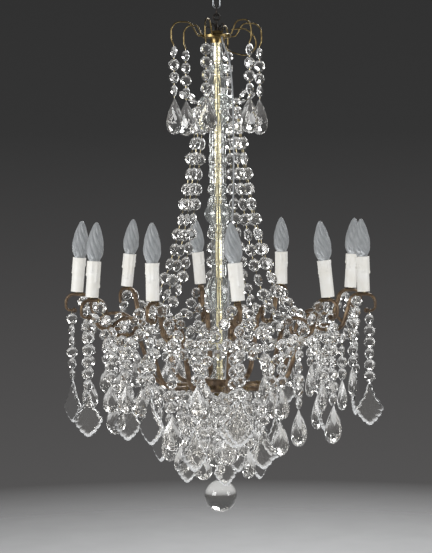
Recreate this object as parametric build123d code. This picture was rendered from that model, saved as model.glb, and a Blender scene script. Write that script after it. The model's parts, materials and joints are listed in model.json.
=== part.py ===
"""Cage chandelier: ten scroll arms under a bead cage on a glass column, hung from a chain.

Millimetres, +Z up. The origin is where a ceiling hook bears, at the inside top of the upper chain link.
The front, towards the viewer, is -Y. Angles count from the front, positive towards +X.
"""

import os

from build123d import *
from math import atan2, cos, floor, radians, sin, sqrt, tan

# Chain and hook
LINK_LENGTH = 40.0
LINK_WIDTH = 17.5
LINK_WIRE = 3.5
OVAL_LENGTH = 24.0
OVAL_WIDTH = 16.0
OVAL_WIRE = 3.2
EYE_RADIUS = 6.5
EYE_WIRE = 4.0
CHAIN_PLAY = 0.3
HOOK_NECK = 29.0
SHANK_RADIUS = 3.0
SHANK_DEPTH = 24.0

# Crown
PLATE_RADIUS = 30.0
PLATE_THICK = 7.0
FERRULE_RADIUS = 13.5
FERRULE_LENGTH = 11.0
CROWN_WIRES = 6
CROWN_START = -14.0
CROWN_WIRE = 3.0
CROWN_REACH = 98.0
CROWN_RISE = 28.0
CROWN_TIP_DROP = 20.0
WIRE_DEPTH = 8.0

# Column
STEM_RADIUS = 6.0
NUT_FLATS = 20.0
NUT_HEIGHT = 7.0
GLASS_BORE = 6.6
SLEEVE_HEIGHT = 44.0
BELL_HEIGHT = 65.0
DISH_HEIGHT = 31.0
DISH_RADIUS = 40.0
TUBE_HEIGHT = 160.0
KNOP_HEIGHT = 110.0
KNOP_RADIUS = 29.5
VASE_HEIGHT = 150.0
VASE_RADIUS = 29.0
BASE_HEIGHT = 144.0
BASE_RING = 18.0
BASE_RING_DROP = 68.0

# Hub and arms
ARMS = 10
ARM_START = 8.0
# The arms are set by hand: how far each one is off its even place, in degrees
ARM_OFFSETS = [-1, 1, 2, -6, 0, 0, -1, 4, 7, 3]
HUB_RADIUS = 34.0
HUB_HEIGHT = 30.0
TENON_RADIUS = 3.2
TENON_LENGTH = 10.0
ARCH_WIDTH = 11.0
ARCH_THICK = 8.5
ARM_WIDTH = 9.5
ARM_THICK = 7.0
ARM_CHAMFER = 2.0
ARM_REACH = 304.0
ARM_RISE = 193.0
BEND_RADIUS_AT = 138.0
INNER_CREST = 200.0
ARCH_IN = 12.0
ARCH_OUT = 46.0
INNER_CREST_DROP = 40.0
TROUGH_DROP = 74.0
CURL_DROP = 34.0
CURL_OUT = 24.0
BOSS_RADIUS = 5.5

# Candles and bulbs
CUP_RADIUS = 11.7
SLEEVE_RADIUS = 13.0
SLEEVE_WALL = 1.0
SLEEVE_LOW = 1.5
SLEEVE_LENGTH = 72.5
HOLDER_RADIUS = 10.5
HOLDER_LENGTH = 56.0
CAP_RADIUS = 6.9
CAP_LENGTH = 25.0
BULB_RADIUS = 17.5
BULB_LENGTH = 79.0
BULB_NECK = 10.4
BULB_WALL = 1.2
# Lean of each candle in degrees, towards the axis and then to the side
CANDLE_LEANS = [(2, -5), (5, -3), (2, 0), (-4, 0), (0, 0), (2, 5), (5, -4), (5, 0), (5, 0), (0, 0)]

# Crystals
BEAD_LARGE = 25.0
BEAD_MEDIUM = 23.0
BEAD_SMALL = 18.5
BEAD_THICK = 0.46
BEAD_TABLE = 0.5
LINK_GAP = 3.4
BEAD_GAP = 0.8
CAGE_GAP = 6.0
PIN = 1.2
PIN_PLAY = 0.25
SWING_PLAY = 0.6
LEAF_LENGTH = 92.0
LEAF_WIDTH = 62.0
LEAF_THICK = 9.0
PEAR_LENGTH = 76.0
PEAR_WIDTH = 45.0
PEAR_THICK = 18.0
BALL_RADIUS = 34.0
BALL_NECK = 6.0
BALL_NECK_LENGTH = 10.0
CAGE_SKIPPED = (0, 9)
CAGE_BELLY = 92.0
TWIST = 32.0
FACING_SWING = 40.0

# Hanging rings: distance from the axis, beads in the strand
OUTER_RING = ARM_REACH + CURL_OUT - 12
OUTER_BEADS = 6
TROUGH_RING = ARM_REACH - 79
TROUGH_TIE = ARM_REACH - 58
TROUGH_BEADS = 5
BEND_RING = BEND_RADIUS_AT - 11
BEND_BEADS = 3
INNER_RING = 84.0
INNER_BEADS = 5
CORE_RING = 52.0
CORE_BEADS = 4
CROWN_BEADS = 4
BALL_BEADS = 7
CANDLE_SAG = 84.0
TROUGH_SAG = 48.0
INNER_SAG = 24.0
SPOKE_SAG = 20.0
SPOKE_INNER = 42.0
TETHER_SAG = 8.0
# Beads in the strands that hang from the middle of the swags
CANDLE_MIDDLE = 3
TROUGH_MIDDLE = 2
INNER_MIDDLE = 4
# The outer drops turn on their hooks: the angle each one faces, and the arms that carry a pear
OUTER_FACING = [8, 34, 12, 70, 152, 188, 224, 312, 350, 322]
OUTER_PEARS = (1, 5)

# Feed lead
LEAD_RADIUS = 1.6
LEAD_ANGLE = 26.0
LEAD_OUT = 75.0
LEAD_IN = 43.0

UP = Vector(0, 0, 1)


def ray(angle):
    """Unit vector out from the axis."""
    return Vector(sin(radians(angle)), -cos(radians(angle)), 0)


def side(angle):
    """Unit vector along the ring, towards larger angles."""
    return Vector(cos(radians(angle)), sin(radians(angle)), 0)


def at(radius, angle, height):
    return ray(angle) * radius + UP * height


def facing(angle, turned=0.0):
    """The way a crystal looks: to the front, and a little outwards by its place on the ring."""
    return ray(FACING_SWING * sin(radians(angle)) + turned)


def turn(angle):
    """Takes a shape drawn in the XZ plane round to its place on the ring."""
    return Rot(0, 0, angle - 90)


def lathe(points):
    """A solid turned about Z from its profile: (r, z) draws a line, (r, z, r, z) an arc through the first."""
    edges = []
    start = (points[0][0], 0, points[0][1])
    here = start
    for point in points[1:]:
        end = (point[-2], 0, point[-1])
        if len(point) == 2:
            edges.append(Line(here, end))
        else:
            edges.append(ThreePointArc(here, (point[0], 0, point[1]), end))
        here = end
    edges.append(Line(here, start))
    return revolve(make_face(edges), Axis.Z).solid()


def bored(top, height, profile, bore):
    """A turned piece with a bore, from its outer profile of radius and drop below the top."""
    points = [(bore, top)]
    for step in profile:
        points.append(tuple(v if i % 2 == 0 else top - v for i, v in enumerate(step)))
    points.append((bore, top - height))
    return lathe(points)


def wire_link(length, width, wire, top, plane_x):
    """An oval chain link hanging from its upper wire centre."""
    long = length - width
    across = (width - wire) / 2
    low = top - 2 * across - long
    path = Wire(
        [
            Line((across, top - across), (across, low + across)),
            ThreePointArc((across, low + across), (0, low), (-across, low + across)),
            Line((-across, low + across), (-across, top - across)),
            ThreePointArc((-across, top - across), (0, top), (across, top - across)),
        ]
    )
    path = Plane(origin=(0, 0, 0), x_dir=plane_x, z_dir=Vector(*plane_x).cross(UP)) * path
    section = Plane(origin=path @ 0, z_dir=path % 0) * Circle(wire / 2)
    return sweep(section, path=path).solid()


def rod(points, radii, section):
    """A bar swept along straight runs joined by arcs, drawn in the XZ plane."""
    path = FilletPolyline(*[(r, 0, z) for r, z in points], radius=radii)
    start = Plane(origin=path @ 0, x_dir=(0, 1, 0), z_dir=path % 0)
    return sweep(start * section, path=path).solid()


def bar_section(width, thick):
    w = width / 2
    t = thick / 2
    c = ARM_CHAMFER
    corners = [(w, t - c), (w - c, t), (c - w, t), (-w, t - c), (-w, c - t), (c - w, -t), (w - c, -t), (w, c - t)]
    return make_face(Polyline(*corners, close=True))


def tiers(outline, layers, centre):
    """A cut crystal with flat faces: outlines shrunk towards the centre and raised, on both sides."""
    halves = []
    for sign in (1, -1):
        faces = []
        for scale, height in layers:
            points = [(centre + (x - centre) * scale, y * scale, sign * height) for x, y in outline]
            faces.append(make_face(Polyline(*points, close=True)))
        for low, high in zip(faces, faces[1:]):
            halves.append(loft([low, high], ruled=True))
    body = halves[0]
    for half in halves[1:]:
        body = body + half
    return body.solid()


def octagon(size):
    """A bead of a given size across its flats, its length on X and its table facing Z."""
    half = size / 2
    corner = half * tan(radians(22.5))
    outline = [(half, corner), (corner, half), (-corner, half), (-half, corner)]
    outline += [(-x, -y) for x, y in outline]
    return tiers(outline, [(1, 0), (BEAD_TABLE, size * BEAD_THICK / 2)], 0)


def both_sides(length, width, edge):
    """A closed outline from one side of it, given as shares of the length and half width."""
    right = [(length * a, width / 2 * b) for a, b in edge]
    return right + [(x, -y) for x, y in reversed(right)]


def leaf(scale=1.0):
    """The flat leaf-shaped pendant with a scalloped rim, hanging along +X from its tip."""
    edge = [(0, 0.09), (0.15, 0.25), (0.2, 0.23), (0.3, 0.52), (0.36, 0.52), (0.46, 0.82)]
    edge += [(0.51, 0.83), (0.58, 1), (0.66, 0.97), (0.73, 0.79), (0.78, 0.76), (0.87, 0.48), (0.98, 0.1)]
    outline = both_sides(LEAF_LENGTH * scale, LEAF_WIDTH * scale, edge)
    return tiers(outline, [(1, 0), (0.74, LEAF_THICK * scale / 2)], LEAF_LENGTH * scale * 0.58)


def pear(scale=1.0):
    """The faceted pear drop, hanging along +X from its tip."""
    edge = [(0, 0.12), (0.16, 0.22), (0.34, 0.52), (0.5, 0.81), (0.64, 0.98)]
    edge += [(0.78, 0.96), (0.9, 0.7), (0.97, 0.36), (1, 0.1)]
    outline = both_sides(PEAR_LENGTH * scale, PEAR_WIDTH * scale, edge)
    thick = PEAR_THICK * scale / 2
    return tiers(outline, [(1, 0), (0.7, thick * 0.62), (0.34, thick)], PEAR_LENGTH * scale * 0.64)


def placed(crystal, start, along, face, twist=0.0):
    """A crystal with its length along one direction and its table turned towards another."""
    x = along.normalized()
    z = (face - x * face.dot(x)).normalized()
    y = z.cross(x)
    table = z * cos(radians(twist)) + y * sin(radians(twist))
    return crystal.moved(Plane(origin=start, x_dir=x, z_dir=table).location)


def pin_between(a, b):
    """A wire pin between two points, clear of both."""
    along = b - a
    length = along.length - 2 * PIN_PLAY
    across = Vector(0.31, 0.52, 0.8).cross(along)
    place = Plane(origin=(a + b) * 0.5, x_dir=along.normalized(), z_dir=across.normalized())
    return Box(length, PIN, PIN).solid().moved(place.location)


def even_points(curve, pitch):
    """Link points at equal steps along a curve given over 0 to 1, no closer than the pitch."""
    fine = [curve(i / 300) for i in range(301)]
    reach = [0.0]
    for a, b in zip(fine, fine[1:]):
        reach.append(reach[-1] + (b - a).length)
    count = max(1, floor(reach[-1] / pitch))
    points = []
    step = 0
    for k in range(count + 1):
        goal = reach[-1] * k / count
        while step < 299 and reach[step + 1] < goal:
            step += 1
        share = (goal - reach[step]) / (reach[step + 1] - reach[step])
        points.append(fine[step] + (fine[step + 1] - fine[step]) * share)
    return points


def threaded(points, crystal, size, face, twist, end=None):
    """Beads between successive link points, with a pin at each link: returns the beads and the pins.

    The last pin goes on to the end, where one is given.
    """
    beads = []
    ends = [(points[0], points[0])]
    for k, (a, b) in enumerate(zip(points, points[1:])):
        along = (b - a).normalized()
        middle = (a + b) * 0.5
        beads.append(placed(crystal, middle, along, face, twist * sin(2.4 * k + 0.7)))
        ends.append((middle - along * (size / 2), middle + along * (size / 2)))
    end = end or points[-1]
    ends.append((end, end))
    pins = [pin_between(before[1], after[0]) for before, after in zip(ends, ends[1:])]
    return beads, pins


def swag(a, b, sag):
    """A hanging curve between two points."""
    return lambda t: a + (b - a) * t - UP * (4 * sag * t * (1 - t))


def hang(radius, angle, top, count, crystal, size, play, pendant, face):
    """Beads drawn close on one wire, with a pendant below, straight down: returns crystals and the top pin."""
    crystals = []
    height = top - play + PIN_PLAY
    low = at(radius, angle, height - LINK_GAP)
    pins = [pin_between(at(radius, angle, height), low)]
    for k in range(count):
        crystals.append(placed(crystal, low - UP * (size / 2), -UP, face, TWIST * sin(1.9 * k + radius)))
        low = low - UP * (size + BEAD_GAP)
    crystals.append(placed(pendant, low, -UP, face))
    return crystals, pins


class Levels:
    """Heights worked out from the driving sizes, from the chain down."""

    link_top = LINK_WIRE / 2
    link_low = -(LINK_LENGTH - 2 * LINK_WIRE) - LINK_WIRE / 2
    oval_top = link_low + (LINK_WIRE + OVAL_WIRE) / 2 + CHAIN_PLAY
    oval_low = oval_top - (OVAL_LENGTH - OVAL_WIRE)
    eye = oval_low + (OVAL_WIRE + EYE_WIRE) / 2 + CHAIN_PLAY - EYE_RADIUS
    crown = eye - EYE_RADIUS - HOOK_NECK
    plate_low = crown - PLATE_THICK
    column = plate_low - FERRULE_LENGTH
    bell = column - SLEEVE_HEIGHT
    dish = bell - BELL_HEIGHT
    tube = dish - DISH_HEIGHT
    knop = tube - TUBE_HEIGHT
    vase = knop - KNOP_HEIGHT
    base = vase - VASE_HEIGHT
    hub = base - BASE_HEIGHT
    socket = hub - HUB_HEIGHT / 2
    hub_low = hub - HUB_HEIGHT
    crest = socket + ARM_RISE
    inner_crest = crest - INNER_CREST_DROP
    trough = crest - TROUGH_DROP
    curl = crest - CURL_DROP
    seat = crest + ARM_THICK / 2 + 0.7
    wire_tip = crown - PLATE_THICK / 2 - CROWN_TIP_DROP


def arm_angle(k):
    return ARM_START + 360 / ARMS * k + ARM_OFFSETS[k % ARMS % len(ARM_OFFSETS)]


def crown_angle(k):
    return CROWN_START + 360 / CROWN_WIRES * k


BEND_FILLET = 45.0
ARCH_FILLET = 40.0


def arch_shoulder():
    """Where a strand meets the inner arch, on its inner shoulder."""
    rise = Levels.inner_crest - Levels.socket
    run = INNER_CREST - ARCH_IN - BEND_RADIUS_AT
    tangent = ARCH_FILLET * tan(atan2(rise, run) / 2)
    reach = (ARCH_FILLET + ARCH_THICK / 2 + PIN_PLAY) * cos(radians(45))
    return INNER_CREST - ARCH_IN + tangent - reach, Levels.inner_crest - ARCH_FILLET + reach


def bend_underside(radius):
    """Height of the arm's underside at a distance from the axis, on the straight run or the lower bend."""
    rise = Levels.inner_crest - Levels.socket
    run = INNER_CREST - ARCH_IN - BEND_RADIUS_AT
    tangent = BEND_FILLET * tan(atan2(rise, run) / 2)
    past = max(0.0, radius - (BEND_RADIUS_AT - tangent))
    return Levels.socket + BEND_FILLET - sqrt((BEND_FILLET + ARCH_THICK / 2) ** 2 - past**2)


def leg_radius(height):
    """Distance from the axis of the middle of the arm's rising inner leg."""
    share = (height - Levels.socket) / (Levels.inner_crest - Levels.socket)
    return BEND_RADIUS_AT + share * (INNER_CREST - ARCH_IN - BEND_RADIUS_AT)


def make_arm():
    """One arm: an inner arch from the hub, an outer scroll under the candle and two end bosses."""
    foot = ARM_REACH - 46
    shoulder = ARM_REACH - 24
    tip = ARM_REACH + CURL_OUT
    arch = [
        (HUB_RADIUS + 0.5, Levels.socket),
        (BEND_RADIUS_AT, Levels.socket),
        (INNER_CREST - ARCH_IN, Levels.inner_crest),
        (INNER_CREST + ARCH_OUT, Levels.inner_crest),
        (foot + 4, Levels.trough + 11),
    ]
    scroll = [
        (INNER_CREST + 4, Levels.trough + 22),
        (INNER_CREST + 4, Levels.trough),
        (foot, Levels.trough),
        (shoulder, Levels.crest),
        (tip, Levels.crest),
        (tip, Levels.curl),
        (tip - 18, Levels.curl),
    ]
    body = rod(arch, [BEND_FILLET, ARCH_FILLET, ARCH_FILLET], bar_section(ARCH_WIDTH, ARCH_THICK))
    body = body + rod(scroll, [14, 22, 20, 18, 9], bar_section(ARM_WIDTH, ARM_THICK))
    for r, z in (scroll[0], scroll[-1]):
        body = body + Pos(r, 0, z) * Sphere(BOSS_RADIUS)
    tenon = Plane(origin=(HUB_RADIUS - TENON_LENGTH, 0, Levels.socket), z_dir=(1, 0, 0)) * Circle(TENON_RADIUS)
    body = body + extrude(tenon, TENON_LENGTH + 1)
    return body.solid()


def candle_place(k):
    angle = arm_angle(k)
    lean_in, lean_side = CANDLE_LEANS[k % len(CANDLE_LEANS)]
    axis = UP - ray(angle) * tan(radians(lean_in)) + side(angle) * tan(radians(lean_side))
    axis = axis.normalized()
    out = (ray(angle) - axis * ray(angle).dot(axis)).normalized()
    return Plane(origin=at(ARM_REACH, angle, Levels.seat), x_dir=out, z_dir=axis).location


CUP_FLOOR = 6.0
HOLDER_TOP = CUP_FLOOR + HOLDER_LENGTH
SLEEVE_TOP = SLEEVE_LOW + SLEEVE_LENGTH


def make_candle():
    """Cup, lampholder, sleeve and bulb, upright on the seat at the origin."""
    cup = lathe([(0, 0), (4.5, 0), (4.5, 1.5), (CUP_RADIUS, 3), (CUP_RADIUS, CUP_FLOOR), (0, CUP_FLOOR)])
    bore = CAP_RADIUS + 0.3
    deep = HOLDER_TOP - CAP_LENGTH - 1
    holder = lathe(
        [(0, CUP_FLOOR), (HOLDER_RADIUS, CUP_FLOOR), (HOLDER_RADIUS, HOLDER_TOP), (bore, HOLDER_TOP), (bore, deep), (0, deep)]
    )
    inner = SLEEVE_RADIUS - SLEEVE_WALL
    sleeve = lathe([(inner, SLEEVE_LOW), (SLEEVE_RADIUS, SLEEVE_LOW), (SLEEVE_RADIUS, SLEEVE_TOP), (inner, SLEEVE_TOP)])
    flange = HOLDER_TOP + 0.5
    neck = flange + 2
    low = HOLDER_TOP - CAP_LENGTH
    cap = lathe([(0, low), (CAP_RADIUS, low), (CAP_RADIUS, flange), (BULB_NECK - 0.2, flange), (BULB_NECK - 0.2, neck), (0, neck)])
    tip = SLEEVE_TOP + BULB_LENGTH
    wide = SLEEVE_TOP + BULB_LENGTH * 0.33
    w = BULB_WALL
    glass = lathe(
        [
            (BULB_NECK - w, neck),
            (BULB_NECK, neck),
            (BULB_NECK, SLEEVE_TOP),
            (BULB_RADIUS * 0.89, SLEEVE_TOP + BULB_LENGTH * 0.15, BULB_RADIUS, wide),
            (BULB_RADIUS * 0.72, SLEEVE_TOP + BULB_LENGTH * 0.71, 1.5, tip - 0.5),
            (0, tip),
            (0, tip - 2 * w),
            (BULB_RADIUS * 0.72 - w, SLEEVE_TOP + BULB_LENGTH * 0.7, BULB_RADIUS - w, wide),
            (BULB_RADIUS * 0.89 - w, SLEEVE_TOP + BULB_LENGTH * 0.15, BULB_NECK - w, SLEEVE_TOP),
        ]
    )
    return cup, holder, sleeve, [glass, cap]


def make_column():
    """The glass pieces, stacked end to end between the crown and the hub."""
    b = GLASS_BORE
    d = DISH_RADIUS
    k = KNOP_RADIUS
    v = VASE_RADIUS
    ring = BASE_RING
    drop = BASE_RING_DROP
    sleeve = [(14.5, 0), (14.5, 3), (12.6, 5, 12.3, 9), (12.3, 35), (12.6, 39, 14.5, 41), (14.5, 44)]
    bell = [(16, 0), (25.5, 5), (25.5, 8), (19, 14, 13.5, 20), (13.5, 24), (20, 38, 22.5, 60), (22.5, 65)]
    dish = [(24, 0), (d * 0.87, 5, d, 14), (d, 18), (d * 0.74, 26, 20, 31)]
    tube = [(20, 0), (20, 4), (24, 16, 20, 28), (17.2, 32), (17.2, 111), (19, 115, 17.2, 119), (17.2, 154), (19, 156), (19, 160)]
    knop = [(16, 0), (20.5, 8, 16, 16), (15, 19), (19.5, 27, 15.5, 35), (k, 57, 15.5, 79), (20, 86, 15, 93)]
    knop += [(15, 95), (18.5, 102, 15.5, 109), (15.5, 110)]
    vase = [(16, 0), (16, 45), (18, 48, 16, 51), (15.5, 53), (15.5, 80), (v * 0.93, 98, v, 117), (v * 0.87, 136, 17, 150)]
    base = [(16, 0), (15.5, 4), (15.5, drop - 4), (ring, drop, 15.5, drop + 4), (15, drop + 6), (15, 118)]
    base += [(17, 134, 22, 141), (22, 144)]
    return {
        "top_glass_sleeve": bored(Levels.column, SLEEVE_HEIGHT, sleeve, b),
        "glass_bell": bored(Levels.bell, BELL_HEIGHT, bell, b),
        "strand_dish": bored(Levels.dish, DISH_HEIGHT, dish, b),
        "upper_glass_tube": bored(Levels.tube, TUBE_HEIGHT, tube, b),
        "glass_knop": bored(Levels.knop, KNOP_HEIGHT, knop, b),
        "glass_vase": bored(Levels.vase, VASE_HEIGHT, vase, b),
        "glass_base_sleeve": bored(Levels.base, BASE_HEIGHT, base, b),
    }


def make_metal():
    """Chain, hook, crown, stem, nuts and hub."""
    stem_top = Levels.crown + NUT_HEIGHT
    stem_low = Levels.hub_low - NUT_HEIGHT
    eye = Pos(0, 0, Levels.eye) * Rot(90, 0, 0) * Torus(EYE_RADIUS, EYE_WIRE / 2)
    shank_low = Levels.crown - SHANK_DEPTH
    shank_top = Levels.eye - EYE_RADIUS
    hook = eye + Pos(0, 0, shank_low) * Cylinder(
        SHANK_RADIUS, shank_top - shank_low, align=(Align.CENTER, Align.CENTER, Align.MIN)
    )
    bore = SHANK_RADIUS + 0.1
    stem = lathe(
        [(bore, stem_top), (STEM_RADIUS, stem_top), (STEM_RADIUS, stem_low), (0, stem_low), (0, stem_low + 5), (bore, stem_low + 5)]
    )
    nuts = []
    for z in (Levels.crown, stem_low):
        body = extrude(RegularPolygon(NUT_FLATS / 2, 6, major_radius=False) - Circle(STEM_RADIUS + 0.05), NUT_HEIGHT)
        nuts.append((Pos(0, 0, z) * body).solid())
    rim = PLATE_RADIUS
    plate = lathe(
        [
            (STEM_RADIUS + 0.05, Levels.crown),
            (rim - 3, Levels.crown),
            (rim, Levels.crown - 2),
            (rim, Levels.plate_low),
            (FERRULE_RADIUS + 3, Levels.plate_low),
            (FERRULE_RADIUS, Levels.plate_low - 3),
            (FERRULE_RADIUS, Levels.column),
            (STEM_RADIUS + 0.05, Levels.column),
        ]
    )
    level = Levels.crown - PLATE_THICK / 2
    wires = []
    high = level + CROWN_RISE
    tip = CROWN_REACH
    path = [
        (rim - WIRE_DEPTH + 0.5, level),
        (rim + 11, level),
        (rim + 27, high),
        (tip, high),
        (tip, level - 10),
        (tip - 5, level - CROWN_TIP_DROP),
    ]
    for k in range(CROWN_WIRES):
        wires.append((turn(crown_angle(k)) * rod(path, [9, 16, 20, 8], Circle(CROWN_WIRE / 2))).solid())
        mouth = Plane(origin=(rim - WIRE_DEPTH, 0, level), z_dir=(1, 0, 0)) * Circle(CROWN_WIRE / 2 + 0.1)
        plate = plate - turn(crown_angle(k)) * extrude(mouth, WIRE_DEPTH + 2)
    hub = bored(Levels.hub, HUB_HEIGHT, [(HUB_RADIUS - 4, 0), (HUB_RADIUS, 4), (HUB_RADIUS, 26), (20, 30)], STEM_RADIUS + 0.05)
    hole = Plane(origin=(HUB_RADIUS - TENON_LENGTH - 0.3, 0, Levels.socket), z_dir=(1, 0, 0))
    for k in range(ARMS):
        hub = hub - turn(arm_angle(k)) * extrude(hole * Circle(TENON_RADIUS + 0.1), TENON_LENGTH + 2)
    return {
        "ceiling_link": wire_link(LINK_LENGTH, LINK_WIDTH, LINK_WIRE, Levels.link_top, (1, 0, 0)),
        "oval_link": wire_link(OVAL_LENGTH, OVAL_WIDTH, OVAL_WIRE, Levels.oval_top, (0, 1, 0)),
        "hanging_hook": hook.solid(),
        "stem_nuts": nuts,
        "crown_plate": plate.solid(),
        "crown_wires": wires,
        "stem_tube": stem,
        "arm_hub": hub.solid(),
    }


def make_lead():
    """The feed lead from the crown plate to the hub, outside the strands above and inside them below."""
    start = Levels.plate_low - 0.3
    path = [
        (24, start),
        (24, start - 9),
        (LEAD_OUT, Levels.bell - 13),
        (LEAD_OUT, Levels.knop - 32),
        (LEAD_IN, Levels.base + 68),
        (LEAD_IN, Levels.hub + 67),
        (27, Levels.hub + 22),
        (27, Levels.hub + 0.4),
    ]
    return (turn(LEAD_ANGLE) * rod(path, [12, 25, 60, 60, 25, 20], Circle(LEAD_RADIUS))).solid()


def make_cage(bead):
    """Strands from the dish rim to the inner crests of the arms."""
    crystals = []
    pins = []
    rim = (DISH_RADIUS + 2, Levels.dish - 20)
    belly = (CAGE_BELLY, Levels.inner_crest - 2)
    end = arch_shoulder()
    for k in range(ARMS):
        if k in CAGE_SKIPPED:
            continue
        angle = arm_angle(k)

        def curve(t):
            r, z = [
                a * (1 - t) ** 2 + 2 * b * t * (1 - t) + c * t * t for a, b, c in zip(rim, belly, end)
            ]
            return at(r, angle, z)

        points = even_points(curve, BEAD_LARGE + CAGE_GAP)
        beads, links = threaded(points, bead, BEAD_LARGE, facing(angle) + UP * 0.3, TWIST)
        crystals += beads
        pins += links
    return crystals, pins


def make_crown_strands(bead):
    """Strands under the crown wires, each tied to the dish rim: returns beads, pins and the lowest height."""
    crystals = []
    pins = []
    radius = CROWN_REACH - 5
    pitch = BEAD_MEDIUM + LINK_GAP
    bottom = Levels.wire_tip - LINK_GAP - pitch * CROWN_BEADS + LINK_GAP
    for k in range(CROWN_WIRES):
        angle = crown_angle(k)
        height = Levels.wire_tip - PIN_PLAY
        low = at(radius, angle, Levels.wire_tip - LINK_GAP)
        pins.append(pin_between(at(radius, angle, height), low))
        for j in range(CROWN_BEADS):
            crystals.append(placed(bead, low - UP * (BEAD_MEDIUM / 2), -UP, facing(angle), TWIST * sin(2.1 * j + k)))
            if j < CROWN_BEADS - 1:
                pins.append(pin_between(low - UP * BEAD_MEDIUM, low - UP * pitch))
            low = low - UP * pitch
        tie = at(radius - BEAD_MEDIUM * 0.42, angle, bottom + BEAD_MEDIUM / 2)
        rim = at(DISH_RADIUS + PIN_PLAY, angle, Levels.dish - 16)
        points = even_points(swag(tie, rim, TETHER_SAG), BEAD_SMALL + 3)
        beads, links = threaded(points, octagon(BEAD_SMALL), BEAD_SMALL, UP + ray(angle) * 0.5, TWIST)
        crystals += beads
        pins += links[1:]
    return crystals, pins, bottom


def make_ball():
    """The clear glass ball with its neck, hanging along +X from the neck's end."""
    top = BALL_NECK_LENGTH
    reach = sqrt(BALL_RADIUS**2 - BALL_NECK**2)
    middle = top + reach
    edges = [
        Line((0, 0), (0, BALL_NECK)),
        Line((0, BALL_NECK), (top, BALL_NECK)),
        ThreePointArc((top, BALL_NECK), (middle, BALL_RADIUS), (middle + BALL_RADIUS, 0)),
        Line((middle + BALL_RADIUS, 0), (0, 0)),
    ]
    return revolve(make_face(edges), Axis.X).solid()


def make_swags(medium, small):
    """Swags from arm to arm, at the candles, the troughs and the inner crests, and spokes to the column."""
    crystals = []
    pins = []
    short_pear = pear(0.82)
    arch_top = INNER_CREST + (ARCH_OUT - ARCH_IN) / 2
    levels = [
        (ARM_REACH - 12, Levels.crest - 2, ARM_WIDTH, CANDLE_SAG, medium, BEAD_MEDIUM, CANDLE_MIDDLE),
        (TROUGH_TIE, Levels.trough, ARM_WIDTH, TROUGH_SAG, medium, BEAD_MEDIUM, TROUGH_MIDDLE),
        (arch_top, Levels.inner_crest, ARCH_WIDTH, INNER_SAG, small, BEAD_SMALL, INNER_MIDDLE),
    ]
    for k in range(ARMS):
        here = arm_angle(k)
        there = arm_angle(k + 1)
        middle = (here + there) / 2
        for radius, height, width, sag, bead, size, count in levels:
            a = at(radius, here, height) + side(here) * (width / 2 + 2 * PIN_PLAY)
            b = at(radius, there, height) - side(there) * (width / 2 + 2 * PIN_PLAY)
            points = even_points(swag(a, b, sag), size + LINK_GAP)
            beads, links = threaded(points, bead, size, facing(middle), TWIST)
            crystals += beads
            pins += links
            lowest = beads[len(beads) // 2] if len(beads) % 2 else links[len(links) // 2]
            top = lowest.bounding_box().min.Z
            out = swag(a, b, sag)(0.5).dot(ray(middle))
            beads, links = hang(out, middle, top, count, bead, size, 2 * PIN_PLAY, short_pear, facing(middle, 20))
            crystals += beads
            pins += links
        height = Levels.inner_crest - 46
        a = at(leg_radius(height) - ARCH_THICK / 2 - 0.9, here, height)
        b = at(SPOKE_INNER, here, Levels.base - BASE_RING_DROP)
        ring = at(BASE_RING + PIN_PLAY, here, Levels.base - BASE_RING_DROP)
        points = even_points(swag(a, b, SPOKE_SAG), BEAD_MEDIUM + LINK_GAP)
        beads, links = threaded(points, medium, BEAD_MEDIUM, ray(here) + UP, TWIST, ring)
        crystals += beads
        pins += links
    return crystals, pins


def make_bowl(medium):
    """The inner rings of hanging strands that fill the bowl below the arms."""
    crystals = []
    pins = []
    long_pear = pear()
    short_pear = pear(0.82)
    small_pear = pear(0.66)
    flat_leaf = leaf()
    short_leaf = leaf(0.8)
    under = Levels.socket - ARCH_THICK / 2
    for k in range(ARMS):
        angle = arm_angle(k)
        odd = k % 2
        sets = [
            (TROUGH_RING, Levels.trough - ARM_THICK / 2, TROUGH_BEADS + odd, (flat_leaf, long_pear)[odd], 12),
            (BEND_RING, bend_underside(BEND_RING), BEND_BEADS, (long_pear, flat_leaf)[odd], -10),
            (INNER_RING, under, INNER_BEADS, (short_leaf, short_pear)[odd], 8),
            (CORE_RING, under, CORE_BEADS, small_pear, 50 * odd),
        ]
        for radius, top, count, pendant, yaw in sets:
            beads, links = hang(radius, angle, top, count, medium, BEAD_MEDIUM, 2 * PIN_PLAY, pendant, facing(angle, yaw))
            crystals += beads
            pins += links
    return crystals, pins


def save(name, solids):
    shape = Compound(solids) if isinstance(solids, list) else solids
    export_step(shape, f"parts/{name}.step", write_pcurves=False)


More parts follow.
